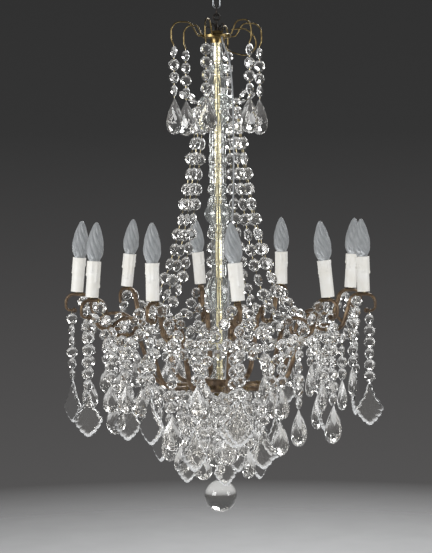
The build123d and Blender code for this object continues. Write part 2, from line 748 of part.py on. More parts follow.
def main():
    os.makedirs("parts", exist_ok=True)
    nodes = {**make_metal(), **make_column()}
    arm = make_arm()
    cup, holder, sleeve, bulb = make_candle()
    places = [candle_place(k) for k in range(ARMS)]
    for k in range(ARMS):
        nodes[f"arm_{k + 1:02d}"] = (turn(arm_angle(k)) * arm).solid()
        nodes[f"bulb_{k + 1:02d}"] = [piece.moved(places[k]) for piece in bulb]
    nodes["candle_cups"] = [cup.moved(place) for place in places]
    nodes["lampholders"] = [holder.moved(place) for place in places]
    nodes["candle_sleeves"] = [sleeve.moved(place) for place in places]

    large = octagon(BEAD_LARGE)
    medium = octagon(BEAD_MEDIUM)
    small = octagon(BEAD_SMALL)
    drop = pear()
    pendant = leaf()
    for k in range(ARMS):
        top = Levels.curl - ARM_THICK / 2
        face = ray(OUTER_FACING[k % len(OUTER_FACING)])
        fruit, count = (drop, OUTER_BEADS + 1) if k in OUTER_PEARS else (pendant, OUTER_BEADS)
        crystals, pins = hang(OUTER_RING, arm_angle(k), top, count, medium, BEAD_MEDIUM, SWING_PLAY, fruit, face)
        nodes[f"arm_drop_{k + 1:02d}"] = crystals + pins
    crown, crown_pins, low = make_crown_strands(medium)
    for k in range(CROWN_WIRES):
        crystals, pins = hang(CROWN_REACH - 5, crown_angle(k), low, 0, medium, BEAD_MEDIUM, SWING_PLAY, drop, facing(crown_angle(k)))
        nodes[f"crown_drop_{k + 1}"] = crystals + pins
    crystals, pins = hang(
        0, 0, Levels.hub_low - NUT_HEIGHT, BALL_BEADS, medium, BEAD_MEDIUM, SWING_PLAY, make_ball(), ray(0)
    )
    nodes["ball_finial"] = crystals + pins

    cage, cage_pins = make_cage(large)
    swags, swag_pins = make_swags(medium, small)
    bowl, bowl_pins = make_bowl(medium)
    nodes["cage_strands"] = cage + crown
    nodes["swag_garlands"] = swags
    nodes["bowl_drops"] = bowl
    nodes["link_pins"] = cage_pins + crown_pins + swag_pins + bowl_pins
    nodes["feed_lead"] = make_lead()
    for name, solids in nodes.items():
        save(name, solids)


if __name__ == "__main__":
    main()
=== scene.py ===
# %% [markdown]
# # A cage chandelier
# A glass column hangs from a chain, ten cast arms carry candle lights, and strings of cut crystal make a
# cage above the arms and a bowl below them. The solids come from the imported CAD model, so this lesson only
# dresses them: it adds the finishes, and it builds again the pieces whose surface a CAD solid can't show.

import json
import math

import bmesh
import bpy
import numpy as np
from mathutils import Matrix, Vector


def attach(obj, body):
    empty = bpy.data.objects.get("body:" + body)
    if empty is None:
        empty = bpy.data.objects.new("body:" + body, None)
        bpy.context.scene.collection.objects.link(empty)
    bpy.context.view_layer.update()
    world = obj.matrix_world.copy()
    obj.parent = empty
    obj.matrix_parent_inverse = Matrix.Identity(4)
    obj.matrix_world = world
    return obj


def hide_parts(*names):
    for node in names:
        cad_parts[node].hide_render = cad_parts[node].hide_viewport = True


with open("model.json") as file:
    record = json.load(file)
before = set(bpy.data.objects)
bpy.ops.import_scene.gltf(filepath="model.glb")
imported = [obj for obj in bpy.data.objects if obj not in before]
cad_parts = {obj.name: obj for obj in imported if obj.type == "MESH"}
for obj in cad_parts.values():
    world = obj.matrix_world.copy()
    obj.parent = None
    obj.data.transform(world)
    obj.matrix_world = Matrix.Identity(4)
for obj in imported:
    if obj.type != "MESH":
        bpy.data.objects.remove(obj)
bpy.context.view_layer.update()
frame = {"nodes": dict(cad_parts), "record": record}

# %% [markdown]
# ## The camera
# The picture was taken from just above the height of the bulbs, at about 3.3 m, with a short telephoto lens.
# The lens is worked out from the picture's height in pixels, so that it holds for any render size of that
# shape. The lamp hangs half a degree out of true in the picture, and a small roll of the camera gives that.

# %% Camera
MM = 0.001
PICTURE_HEIGHT = 553
FOCAL_PIXELS = 1583
SENSOR = 24.0
ROLL = -0.5

eye = Vector((0, -3332, -423)) * MM
aim = Vector((-6, 0, -597)) * MM
view = bpy.data.cameras.new("picture_camera")
view.sensor_fit = "VERTICAL"
view.sensor_height = SENSOR
view.lens = SENSOR * FOCAL_PIXELS / PICTURE_HEIGHT
camera = bpy.data.objects.new("picture_camera", view)
bpy.context.scene.collection.objects.link(camera)
facing = (aim - eye).to_track_quat("-Z", "Y").to_matrix().to_4x4()
roll = Matrix.Rotation(math.radians(ROLL), 4, "Z")
camera.matrix_world = Matrix.Translation(eye) @ facing @ roll
bpy.context.scene.camera = camera
print("lens", round(view.lens, 1), "mm")

# %% [markdown]
# ## The feed lead
# The current comes down from the ceiling in a thin grey lead that leaves the crown, passes outside the glass
# column and goes into the hub. Its eight points are the control points of a NURBS curve, which hangs in one
# smooth line where straight runs would not. The radius of each point is the lead's own.

# %% Feed lead
LEAD_RADIUS = 1.6
LEAD_ANGLE = 26.0
# Points of the lead: distance from the axis, height
LEAD_ROUTE = [(24, -97.3), (24, -106.3), (75, -165), (75, -440)]
LEAD_ROUTE += [(43, -600), (43, -745), (27, -790), (27, -811.6)]


def place(radius, angle, height):
    """A point by its distance from the axis, its angle from the front in degrees and its height, in mm."""
    turn = math.radians(angle)
    return Vector((radius * math.sin(turn), -radius * math.cos(turn), height)) * MM


line = bpy.data.curves.new("feed_lead_line", "CURVE")
line.dimensions = "3D"
line.bevel_depth = 1.0
line.bevel_resolution = 4
line.resolution_u = 16
spline = line.splines.new("NURBS")
spline.points.add(len(LEAD_ROUTE) - 1)
for point, (radius, height) in zip(spline.points, LEAD_ROUTE):
    point.co = (*place(radius, LEAD_ANGLE, height), 1)
    point.radius = LEAD_RADIUS * MM
spline.order_u = 3
spline.use_endpoint_u = True
lead = bpy.data.objects.new("grey_feed_lead", line)
bpy.context.scene.collection.objects.link(lead)
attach(lead, "frame")
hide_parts("feed_lead")
print("lead points", len(spline.points))

# %% [markdown]
# ## Colours and nodes
# Finishes are graphs of shader nodes. A few small helpers are enough for all of them: one turns the hex
# colour that an eye reads off a screen into the linear colour that light is reckoned in, one adds a node, and
# the others add the nodes that nearly every finish has. Patterns are given by the size of their features.

# %% Colour and node helpers
def linear(code):
    """A linear RGBA colour from an sRGB hex code."""
    parts = [int(code[i : i + 2], 16) / 255 for i in (0, 2, 4)]
    return [p / 12.92 if p <= 0.04045 else ((p + 0.055) / 1.055) ** 2.4 for p in parts] + [1]


def add(tree, kind, sockets=None, stops=None, **options):
    """Adds a node with its options, then fills its sockets: an output socket is linked, a value is set."""
    node = tree.nodes.new("ShaderNode" + kind)
    for option, value in options.items():
        setattr(node, option, value)
    for name, value in (sockets or {}).items():
        if isinstance(value, bpy.types.NodeSocket):
            tree.links.new(value, node.inputs[name])
        else:
            node.inputs[name].default_value = value
    for k, (position, colour) in enumerate(stops or []):
        steps = node.color_ramp.elements
        step = steps[k] if k < len(steps) else steps.new(position)
        step.position = position
        step.color = linear(colour)
    return node


def new_finish(name):
    """An empty material, its node tree and the place on the object that its patterns are laid out by."""
    finish = bpy.data.materials.new(name)
    finish.use_nodes = True
    tree = finish.node_tree
    tree.nodes.clear()
    return finish, tree, add(tree, "TexCoord").outputs["Object"]


def cloud(tree, where, size, detail, rough=0.5):
    """A cloudy pattern whose features are that many millimetres across."""
    sockets = {"Vector": where, "Scale": 1 / (size * MM), "Detail": detail, "Roughness": rough}
    return add(tree, "TexNoise", sockets).outputs["Fac"]


def shades(tree, pattern, stops):
    """Colours laid over a pattern."""
    return add(tree, "ValToRGB", {"Fac": pattern}, stops).outputs["Color"]


def spread(tree, pattern, low, high, start=0.0, end=1.0):
    """A pattern's values between start and end, spread from low to high."""
    sockets = {"Value": pattern, "From Min": start, "From Max": end, "To Min": low, "To Max": high}
    return add(tree, "MapRange", sockets).outputs["Result"]


def relief(tree, pattern, strength, depth):
    """A surface that rises and falls with a pattern, by that many millimetres."""
    sockets = {"Height": pattern, "Strength": strength, "Distance": depth * MM}
    return add(tree, "Bump", sockets).outputs["Normal"]


def coat(tree, sockets):
    """Ends a finish with a shader that has those sockets."""
    shader = add(tree, "BsdfPrincipled", sockets)
    add(tree, "OutputMaterial", {"Surface": shader.outputs["BSDF"]})


print("white is", [round(v, 2) for v in linear("ffffff")])

# %% [markdown]
# ## Cut lead crystal
# The beads, leaves and pears are lead crystal, pressed and then cut and polished on wheels. It bends light
# more than window glass, so each facet shows another part of the room. A trace of dust dulls it in patches,
# and the polishing leaves a faint wave that breaks up the highlights.

# %% Lead crystal
DUST_PATCH = 14.0
POLISH_WAVE = 7.0
CRYSTAL_IOR = 1.545
crystal, tree, where = new_finish("cut_lead_crystal_polished")
dust = cloud(tree, where, DUST_PATCH, 3)
wave = cloud(tree, where, POLISH_WAVE, 1)
coat(
    tree,
    {
        "Base Color": shades(tree, dust, [(0.35, "fdfcfa"), (0.75, "f2f0ec")]),
        "Roughness": spread(tree, dust, 0, 0.06, start=0.4, end=0.8),
        "Normal": relief(tree, wave, 0.06, 1.0),
        "Transmission Weight": 0.975,
        "IOR": CRYSTAL_IOR,
    },
)
print("made", crystal.name)

# %% [markdown]
# ## Ground edges
# The rims of the leaves and the thin girdles of the beads and pears are left as the grinding wheel made them.
# They scatter the light, so every crystal has a fine pale outline, brightest round the leaves.

# %% Ground crystal
WHEEL_MARK = 0.8
ground, tree, where = new_finish("cut_lead_crystal_ground")
marks = cloud(tree, where, WHEEL_MARK, 2)
coat(
    tree,
    {
        "Base Color": shades(tree, marks, [(0.3, "eceff0"), (0.7, "fafbfb")]),
        "Roughness": spread(tree, marks, 0.3, 0.55),
        "Normal": relief(tree, marks, 0.3, 0.3),
        "Transmission Weight": 0.8,
        "IOR": CRYSTAL_IOR,
    },
)
print("made", ground.name)

# %% [markdown]
# ## Moulded column glass
# The column is a stack of soda-lime glass pieces, blown in a mould and cut afterwards. The mould leaves slow
# waves in the surface, which bend what is seen through it, and dust makes it a little hazy in places.

# %% Column glass
MOULD_WAVE = 20.0
HAZE_PATCH = 30.0
column_glass, tree, where = new_finish("soda_lime_glass_mould_blown_cut")
wave = cloud(tree, where, MOULD_WAVE, 2)
haze = cloud(tree, where, HAZE_PATCH, 3)
coat(
    tree,
    {
        "Base Color": shades(tree, haze, [(0.3, "fbfdfc"), (0.8, "f0f5f3")]),
        "Roughness": spread(tree, haze, 0, 0.06, start=0.35, end=0.8),
        "Normal": relief(tree, wave, 0.2, 2.0),
        "Transmission Weight": 0.96,
        "IOR": 1.52,
    },
)
print("made", column_glass.name)

# %% [markdown]
# ## Acid-frosted bulb glass
# The bulbs are thin glass, etched inside until it scatters the light, so they look like grey-blue wax paper
# when they are off. Rough transmission lets a little of what is behind come through, and a sheen lightens
# their edges.

# %% Frosted glass
ETCH_CLOUD = 12.0
ETCH_GRAIN = 0.6
frosted, tree, where = new_finish("frosted_bulb_glass_acid_etched")
etching = cloud(tree, where, ETCH_CLOUD, 4)
grain = cloud(tree, where, ETCH_GRAIN, 2)
coat(
    tree,
    {
        "Base Color": shades(tree, etching, [(0.3, "aaaeb1"), (0.75, "bfc2c4")]),
        "Roughness": spread(tree, etching, 0.28, 0.46),
        "Normal": relief(tree, grain, 0.12, 0.2),
        "Transmission Weight": 0.4,
        "Sheen Weight": 0.3,
        "IOR": 1.5,
    },
)
print("made", frosted.name)

# %% [markdown]
# ## Cast bronze with a brown patina
# The arms and the hub are cast bronze, stained brown. Where hands and cloths have rubbed it, the metal shows
# through warmer and smoother, and elsewhere the stain is almost black. Two noises, one of the width of a rub
# mark and one as fine as the casting skin, share that out.

# %% Brown bronze
RUB_MARK = 16.0
CAST_GRAIN = 1.4
bronze, tree, where = new_finish("cast_bronze_brown_patina")
rub = cloud(tree, where, RUB_MARK, 5, rough=0.6)
grain = cloud(tree, where, CAST_GRAIN, 3)
coat(
    tree,
    {
        "Base Color": shades(tree, rub, [(0.3, "3b3025"), (0.5, "655341"), (0.72, "937d60")]),
        "Metallic": 0.5,
        "Roughness": spread(tree, rub, 0.52, 0.34, start=0.3, end=0.7),
        "Normal": relief(tree, grain, 0.2, 0.4),
    },
)
print("made", bronze.name)

# %% [markdown]
# ## Two kinds of brass
# The stem and the pins are drawn brass that the glass and the crystals have kept clean, a pale gold. The
# crown was spun and bent from brass that has been in the open air: it has gone brown, with dull gold where it
# is touched. The same graph serves both, with other colours and a rougher skin.

# %% Pale and brown brass
TARNISH_SPOT = 9.0
SCUFF_MARK = 1.0


def brass_finish(name, colours, smooth, dull):
    """Brass in three colours from stained to clean."""
    finish, tree, where = new_finish(name)
    spots = cloud(tree, where, TARNISH_SPOT, 5)
    scuffs = cloud(tree, where, SCUFF_MARK, 2)
    coat(
        tree,
        {
            "Base Color": shades(tree, spots, list(zip((0.3, 0.5, 0.7), colours))),
            "Metallic": 1.0,
            "Roughness": spread(tree, spots, dull, smooth, start=0.3, end=0.7),
            "Normal": relief(tree, scuffs, 0.12, 0.3),
        },
    )
    return finish


brass = brass_finish("drawn_brass_pale", ("a3946e", "c8bb96", "dbd1b4"), 0.22, 0.4)
brown_brass = brass_finish("spun_brass_browned", ("58482e", "8c7950", "b4a072"), 0.3, 0.5)
print("made", brass.name, brown_brass.name)

# %% [markdown]
# ## Steel and iron of the hanging gear
# The chain is bright zinc-plated steel wire with a grey bloom. The hook below it is forged iron, blackened in
# oil, with a little rust in spots.

# %% Chain steel and hook iron
BLOOM_PATCH = 4.0
RUST_SPOT = 5.0
steel, tree, where = new_finish("steel_wire_zinc_plated")
bloom = cloud(tree, where, BLOOM_PATCH, 4)
coat(
    tree,
    {
        "Base Color": shades(tree, bloom, [(0.3, "8a8d91"), (0.7, "b4b7ba")]),
        "Metallic": 1.0,
        "Roughness": spread(tree, bloom, 0.22, 0.5),
        "Normal": relief(tree, bloom, 0.1, 0.3),
    },
)

iron, tree, where = new_finish("forged_iron_oil_blackened")
rust = cloud(tree, where, RUST_SPOT, 5)
coat(
    tree,
    {
        "Base Color": shades(tree, rust, [(0.35, "1f1d1c"), (0.6, "35302c"), (0.78, "5a3d2a")]),
        "Metallic": 0.6,
        "Roughness": spread(tree, rust, 0.4, 0.7),
        "Normal": relief(tree, rust, 0.3, 0.5),
    },
)
print("made", steel.name, iron.name)

# %% [markdown]
# ## Plastics
# The candle sleeves are moulded ivory plastic with a waxy gloss, a little yellower in patches. The
# lampholders inside them are black phenolic, and the lead is grey PVC with a slightly sticky, dusty skin.

# %% Ivory, black and grey plastic
STAIN_PATCH = 22.0
FLOW_MARK = 3.5
FLECK = 2.0
GRIME_PATCH = 10.0
ivory, tree, where = new_finish("ivory_polypropylene_moulded")
stain = cloud(tree, where, STAIN_PATCH, 4)
flow = cloud(tree, where, FLOW_MARK, 2)
coat(
    tree,
    {
        "Base Color": shades(tree, stain, [(0.3, "f3f2ee"), (0.75, "eae7de")]),
        "Roughness": spread(tree, stain, 0.32, 0.52),
        "Normal": relief(tree, flow, 0.15, 0.6),
        "IOR": 1.49,
    },
)

phenolic, tree, where = new_finish("black_phenolic_moulded")
fleck = cloud(tree, where, FLECK, 4)
coat(
    tree,
    {
        "Base Color": shades(tree, fleck, [(0.35, "141414"), (0.7, "262524")]),
        "Roughness": spread(tree, fleck, 0.3, 0.5),
        "IOR": 1.6,
    },
)

lead_skin, tree, where = new_finish("grey_pvc_extruded")
grime = cloud(tree, where, GRIME_PATCH, 4)
coat(
    tree,
    {
        "Base Color": shades(tree, grime, [(0.3, "85878a"), (0.7, "9ea0a1")]),
        "Roughness": spread(tree, grime, 0.4, 0.6),
        "IOR": 1.53,
    },
)
line.materials.append(lead_skin)
print("made", ivory.name, phenolic.name, lead_skin.name)

# %% [markdown]
# ## Dressing the CAD pieces
# Every CAD node gets the finish of the material it is made of, which the names of its slots begin with. Plain
# metal such as the chain, the crown and the stem is already right as a solid and keeps its mesh. The crown
# and the nuts have gone brown, so they get the darker brass.

# %% Finishes on the CAD nodes
FINISHES = {
    "chain_steel": steel,
    "dark_iron": iron,
    "aged_brass": brass,
    "brown_bronze": bronze,
    "black_plastic": phenolic,
    "ivory_plastic": ivory,
    "grey_plastic": lead_skin,
    "crystal": crystal,
    "column_glass": column_glass,
    "frosted_glass": frosted,
}
for node in frame["nodes"].values():
    for slot in node.material_slots:
        for key, finish in FINISHES.items():
            if slot.name.startswith(key):
                slot.material = finish
for name in ("crown_plate", "crown_wires", "stem_nuts"):
    for slot in frame["nodes"][name].material_slots:
        slot.material = brown_brass
print("finishes", len(FINISHES))

# %% [markdown]
# ## Skins from rings
# The arms, bulbs and sleeves are all long bodies whose cross-section changes along their length. Each is made
# as a row of rings of points, joined into a skin of four-sided faces with bmesh.

# %% Skin helpers
WELD = 1e-7


def circle(count):
    """Angles spaced evenly round a circle."""
    return [math.tau * k / count for k in range(count)]


def around(radius, angle, height):
    """A point of a turned shape, in mm, by its distance from the shape's own axis, its angle and height."""
    return Vector((radius * math.cos(angle), radius * math.sin(angle), height)) * MM


def skin(mesh, rings, closed_ends=True):
    """Joins rings of points into one skin."""
    rows = [[mesh.verts.new(point) for point in ring] for ring in rings]
    for low, high in zip(rows, rows[1:]):
        for k in range(len(low)):
            after = (k + 1) % len(low)
            mesh.faces.new((low[k], low[after], high[after], high[k]))
    if closed_ends:
        mesh.faces.new(rows[0][::-1])
        mesh.faces.new(rows[-1])


def smooth_mesh(mesh, name, finish):
    """Turns a bmesh into smooth mesh data with a finish."""
    bmesh.ops.recalc_face_normals(mesh, faces=mesh.faces)
    data = bpy.data.meshes.new(name)
    mesh.to_mesh(data)
    mesh.free()
    data.shade_smooth()
    data.materials.append(finish)
    return data


def shown(name, data):
    """Puts mesh data into the scene as an object."""
    piece = bpy.data.objects.new(name, data)
    bpy.context.scene.collection.objects.link(piece)
    return piece


print("helpers ready")

# %% [markdown]
# ## The arms
# Each arm is cast in one: an arch that rises from the hub and a scroll that carries the candle and ends in a
# curl. The bar is ribbed along its length and thins towards the curls. Its line is straight runs joined by
# arcs, and a ribbed ring is carried along that line. The arms were set by hand, so they aren't quite even.

# %% Arms
ARMS = 10
ARM_ANGLES = [7, 45, 82, 110, 152, 188, 223, 264, 303, 335]
# Corners of the bars as distance from the axis and height, the radii of their bends, and width and thickness
ARCH = [(34.5, -827), (138, -827), (188, -674), (246, -674), (262, -697)]
ARCH_BENDS = [45, 40, 40]
ARCH_BAR = (11.4, 9.2)
SCROLL = [(204, -686), (204, -708), (258, -708), (280, -634), (328, -634), (328, -668), (310, -668)]
SCROLL_BENDS = [14, 22, 20, 18, 9]
SCROLL_BAR = (10.4, 8.2)
BAR_SIDES = 48
BEND_STEP = 2.0
RIBS = 8
RIB_DEPTH = 0.09
CURL_BALL = 5.5
CURL_ROWS = 12
CURL_SIDES = 20


def rounded(corners, radii):
    """Points along runs joined by arcs, as (distance from the axis, height)."""
    points = [Vector(corners[0])]
    for before, corner, after, radius in zip(corners, corners[1:], corners[2:], radii):
        corner = Vector(corner)
        back = (Vector(before) - corner).normalized()
        on = (Vector(after) - corner).normalized()
        half = back.angle(on) / 2
        middle = corner + (back + on).normalized() * radius / math.sin(half)
        start = corner + back * radius / math.tan(half) - middle
        sweep = start.angle_signed(corner + on * radius / math.tan(half) - middle)
        count = max(3, round(abs(sweep) * radius / BEND_STEP))
        for k in range(count + 1):
            points.append(middle + Matrix.Rotation(-sweep * k / count, 2) @ start)
    points.append(Vector(corners[-1]))
    return points


def arch_taper(share):
    """The arch thins towards its outer end."""
    return 1.05 - 0.4 * share**2


def scroll_taper(share):
    """The scroll is fullest near its middle and thin at both curls."""
    return 0.68 + 0.42 * math.sin(math.pi * min(1, share * 1.15)) ** 0.8


def ribbed_bar(mesh, points, bar, taper):
    """A ribbed bar along points in the plane of the arm, scaled along its length by the taper."""
    width, thick = bar
    reach = [0.0]
    for a, b in zip(points, points[1:]):
        reach.append(reach[-1] + (b - a).length)
    rings = []
    for k, point in enumerate(points):
        along = (points[min(k + 1, len(points) - 1)] - points[max(k - 1, 0)]).normalized()
        size = taper(reach[k] / reach[-1])
        ring = []
        for angle in circle(BAR_SIDES):
            rib = 1 - RIB_DEPTH * (0.5 - 0.5 * math.cos(RIBS * angle)) ** 2
            across = width / 2 * size * rib * math.cos(angle)
            out = thick / 2 * size * rib * math.sin(angle)
            ring.append(Vector((point.x - along.y * out, across, point.y + along.x * out)) * MM)
        rings.append(ring)
    skin(mesh, rings)


def curl_ball(mesh, centre):
    """A round boss at the end of a curl."""
    x, z = centre
    rings = []
    for k in range(1, CURL_ROWS):
        lift = math.pi * k / CURL_ROWS
        rim = CURL_BALL * math.sin(lift)
        side = -CURL_BALL * math.cos(lift)
        spots = [(x + rim * math.cos(a), side, z + rim * math.sin(a)) for a in circle(CURL_SIDES)]
        rings.append([Vector(spot) * MM for spot in spots])
    skin(mesh, rings)


mesh = bmesh.new()
ribbed_bar(mesh, rounded(ARCH, ARCH_BENDS), ARCH_BAR, arch_taper)
ribbed_bar(mesh, rounded(SCROLL, SCROLL_BENDS), SCROLL_BAR, scroll_taper)
curl_ball(mesh, SCROLL[0])
curl_ball(mesh, SCROLL[-1])
arm_mesh = smooth_mesh(mesh, "bronze_arm_01", bronze)
for k in range(ARMS):
    arm = shown(f"bronze_arm_{k + 1:02d}", arm_mesh)
    arm.matrix_world = Matrix.Rotation(math.radians(ARM_ANGLES[k] - 90), 4, "Z")
    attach(arm, "frame")
    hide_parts(f"arm_{k + 1:02d}")
print("arm faces", len(arm_mesh.polygons))

# %% [markdown]
# ## The candles
# Each light is made to look like a candle: a sleeve with wax that has run down it, and a bulb drawn out like
# a twisted flame. Some lean, as they do on the real lamp. The drips are a swelling of the sleeve's radius:
# each has its own place, width and length, and ends in a fuller bead.

# %% Candle places
ARM_REACH = 304
SEAT = -629.8
# How far each candle leans, in degrees: towards the column, then sideways
LEANS = [(2, -5), (5, -3), (2, 0), (-4, 0), (0, 0), (2, 5), (5, -4), (5, 0), (5, 0), (0, 0)]


def candle_place(k):
    """Where a candle stands: X away from the column, Z up along the candle."""
    angle = math.radians(ARM_ANGLES[k])
    out = Vector((math.sin(angle), -math.cos(angle), 0))
    along = Vector((math.cos(angle), math.sin(angle), 0))
    lean_in, lean_side = (math.tan(math.radians(v)) for v in LEANS[k])
    up = (Vector((0, 0, 1)) - out * lean_in + along * lean_side).normalized()
    out = (out - up * out.dot(up)).normalized()
    turned = Matrix((out, up.cross(out), up)).transposed().to_4x4()
    return Matrix.Translation(place(ARM_REACH, ARM_ANGLES[k], SEAT)) @ turned


print("first candle at", [round(v, 3) for v in candle_place(0).translation])

# %% Candle sleeves
SLEEVE_LOW = 1.5
SLEEVE_TOP = 74.0
SLEEVE_RADIUS = 13.0
SLEEVE_SIDES = 64
# The outside as heights, and the lip and the bore as radius and height
DRIP_LOW = 4.0
DRIP_ROWS = 46
SLEEVE_OUTSIDE = [SLEEVE_LOW, SLEEVE_LOW + 0.5]
SLEEVE_OUTSIDE += [DRIP_LOW + (SLEEVE_TOP - DRIP_LOW) * i / DRIP_ROWS for i in range(DRIP_ROWS + 1)]
SLEEVE_INSIDE = [(12.8, SLEEVE_TOP + 0.5), (12.2, SLEEVE_TOP + 0.3), (12, SLEEVE_TOP - 1), (12, SLEEVE_LOW)]
DRIPS = 9
LIP_SWELL = 0.9
LIP_HEIGHT = 7
DRIP_END = 4
DRIP_BEAD = 3


def drip_swell(angle, height, drips):
    """How far the wax stands out from the sleeve."""
    swell = LIP_SWELL * max(0.0, 1 - (SLEEVE_TOP - height) / LIP_HEIGHT) ** 0.5
    for centre, width, length, thick in drips:
        off = (angle - centre + math.pi) % math.tau - math.pi
        below = SLEEVE_TOP - height - length
        run = 1.0 if below < -DRIP_END else max(0.0, 1 - ((below + DRIP_END) / DRIP_END) ** 2) ** 0.5
        bead = 1 + 0.5 * math.exp(-(((below + DRIP_BEAD) / DRIP_BEAD) ** 2))
        swell = max(swell, thick * run * bead * math.exp(-((off / width) ** 2)))
    return swell


mesh = bmesh.new()
for k in range(ARMS):
    stand = candle_place(k)
    drips = []
    for j in range(DRIPS):
        # Two waves in unrelated steps stand in for chance, so that every drip is another
        wander = math.sin(12.9 * (DRIPS * k + j) + 1.3)
        other = math.sin(7.3 * (DRIPS * k + j) + 0.4)
        turn = math.tau * (j + 0.3 * wander) / DRIPS
        drips.append((turn, 0.15 + 0.04 * other, 26 + 15 * (wander + other), 1.5 + 0.4 * wander))
    rings = []
    for height in SLEEVE_OUTSIDE:
        ring = []
        for angle in circle(SLEEVE_SIDES):
            radius = SLEEVE_RADIUS + drip_swell(angle, height, drips)
            ring.append(stand @ around(radius, angle, height))
        rings.append(ring)
    for radius, height in SLEEVE_INSIDE:
        rings.append([stand @ around(radius, angle, height) for angle in circle(SLEEVE_SIDES)])
    skin(mesh, rings + rings[:1], closed_ends=False)
bmesh.ops.remove_doubles(mesh, verts=mesh.verts, dist=WELD)
sleeves = shown("wax_dripped_sleeves", smooth_mesh(mesh, "wax_dripped_sleeves", ivory))
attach(sleeves, "frame")
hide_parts("candle_sleeves")
print("sleeve faces", len(sleeves.data.polygons))

# %% [markdown]
# ## The bulbs
# A bulb is a turned shape, but its mould was twisted: ribs run up it in a steep spiral to the tip. So every
# ring is a wavy circle, turned a little further than the one below. Its screw cap sits down in the sleeve.

# %% Bulbs
# Outlines of the bulb and of its cap: height above the candle's seat, radius
BULB = [(64.6, 9.6), (70, 10.2), (74, 10.5), (77, 11.6), (81, 13.6), (86, 15.7), (92, 17.1), (99, 17.5)]
BULB += [(106, 17.2), (113, 16.4), (120, 15.1), (127, 13.3), (134, 11.2), (140, 9), (145, 6.9), (149, 4.7)]
BULB += [(151.5, 2.7), (152.7, 0.6)]
CAP = [(37.2, 3.5), (38.5, 6.4), (60, 6.4), (62.6, 6.6), (62.8, 9.8), (64.4, 9.8)]
BULB_STEPS = 4
FLAME_HEIGHT = 79
FLAME_SIDES = 108
FLAME_RIBS = 9
FLUTE_DEPTH = 0.17
TWIST = -130.0
CAP_STEP = 0.5
CAP_SIDES = 40
THREAD_LOW = 40
THREAD_TOP = 59
THREAD_PITCH = 3.0
THREAD_DEPTH = 0.35

mesh = bmesh.new()
rings = []
for (low, r_low), (high, r_high) in zip(BULB, BULB[1:]):
    for step in range(BULB_STEPS):
        height = low + (high - low) * step / BULB_STEPS
        radius = r_low + (r_high - r_low) * step / BULB_STEPS
        # The flutes begin at the sleeve's top, deepen quickly and run out before the tip
        share = max(0.0, (height - SLEEVE_TOP) / FLAME_HEIGHT)
        depth = FLUTE_DEPTH * min(1, share * 8) * min(1, (1 - share) * 6)
        turn = math.radians(TWIST) * share
        ring = []
        for angle in circle(FLAME_SIDES):
            rib = 1 - depth * (1 - abs(math.sin(FLAME_RIBS * (angle - turn) / 2))) ** 1.5
            ring.append(around(radius * rib, angle, height))
        rings.append(ring)
skin(mesh, rings)
flame = smooth_mesh(mesh, "twisted_flame_bulb", frosted)

mesh = bmesh.new()
rings = []
for (low, r_low), (high, r_high) in zip(CAP, CAP[1:]):
    steps = max(1, round((high - low) / CAP_STEP))
    for step in range(steps):
        height = low + (high - low) * step / steps
        radius = r_low + (r_high - r_low) * step / steps
        depth = THREAD_DEPTH if THREAD_LOW < height < THREAD_TOP else 0
        ring = []
        for angle in circle(CAP_SIDES):
            thread = depth * math.cos(math.tau * height / THREAD_PITCH - angle)
            ring.append(around(radius + thread, angle, height))
        rings.append(ring)
skin(mesh, rings)
cap = smooth_mesh(mesh, "bulb_screw_cap", brass)

for k in range(ARMS):
    for data, label, slot in ((flame, "flame_bulb", "frosted_glass"), (cap, "screw_cap", "aged_brass")):
        piece = shown(f"{label}_{k + 1:02d}", data)
        piece.matrix_world = candle_place(k)
        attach(piece, f"bulb_{k + 1:02d}")
        if data == flame:
            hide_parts(f"bulb_{k + 1:02d}")
print("bulb faces", len(flame.polygons), "cap faces", len(cap.polygons))

# %% [markdown]
# ## Cutting the crystals
# The CAD solids give every crystal its place and size, with a few large facets. The real ones are cut finer:
# a bead has two rows of facets round its table, a pear has rows of lozenges, and a leaf has a scalloped,
# bevelled rim round a clear middle. A convex hull round rings of points that are turned half a step from row
# to row gives such lozenges by itself, so each shape is cut once and then set in every place.

# %% Cut shapes
# Rows of points on one side of a bead and of a pear: share of the outline, share of half the thickness, turn
BEAD_CUT = [(1, 0.1, 0), (0.83, 0.56, 1), (0.5, 1, 0)]
PEAR_CUT = [(1, 0.04, 0), (0.84, 0.45, 0.5), (0.62, 0.76, 0), (0.36, 1, 0.5)]
BEAD_THICK = 0.46
PEAR_WIDTH = 0.59
PEAR_THICK = 0.237
PEAR_MIDDLE = 0.64
PEAR_SWELL = 1.34
PEAR_POINTS = 18
PIN_SIDES = 8
GIRDLE_TILT = 0.2
FLAT_ANGLE = 1.0


def hull(rings):
    """A cut shape from rings of points, mirrored: its corners, its faces and which of them are ground."""
    mesh = bmesh.new()
    for ring in rings:
        for x, y, z in ring:
            mesh.verts.new((x, y, z))
            mesh.verts.new((x, y, -z))
    bmesh.ops.convex_hull(mesh, input=mesh.verts)
    flat = math.radians(FLAT_ANGLE)
    bmesh.ops.dissolve_limit(mesh, angle_limit=flat, verts=mesh.verts, edges=mesh.edges)
    mesh.verts.index_update()
    mesh.normal_update()
    points = [vert.co.copy() for vert in mesh.verts]
    faces = [[vert.index for vert in face.verts] for face in mesh.faces]
    girdle = [abs(face.normal.z) < GIRDLE_TILT for face in mesh.faces]
    mesh.free()
    return points, faces, girdle


def bead_ring(share, height, turned):
    """Eight points round a bead that is 1 across its flats."""
    reach = 0.5 / math.cos(math.pi / 8) * share
    angles = [math.pi / 8 * (2 * k + 1 - turned) for k in range(8)]
    return [(reach * math.cos(a), reach * math.sin(a), height * BEAD_THICK / 2) for a in angles]


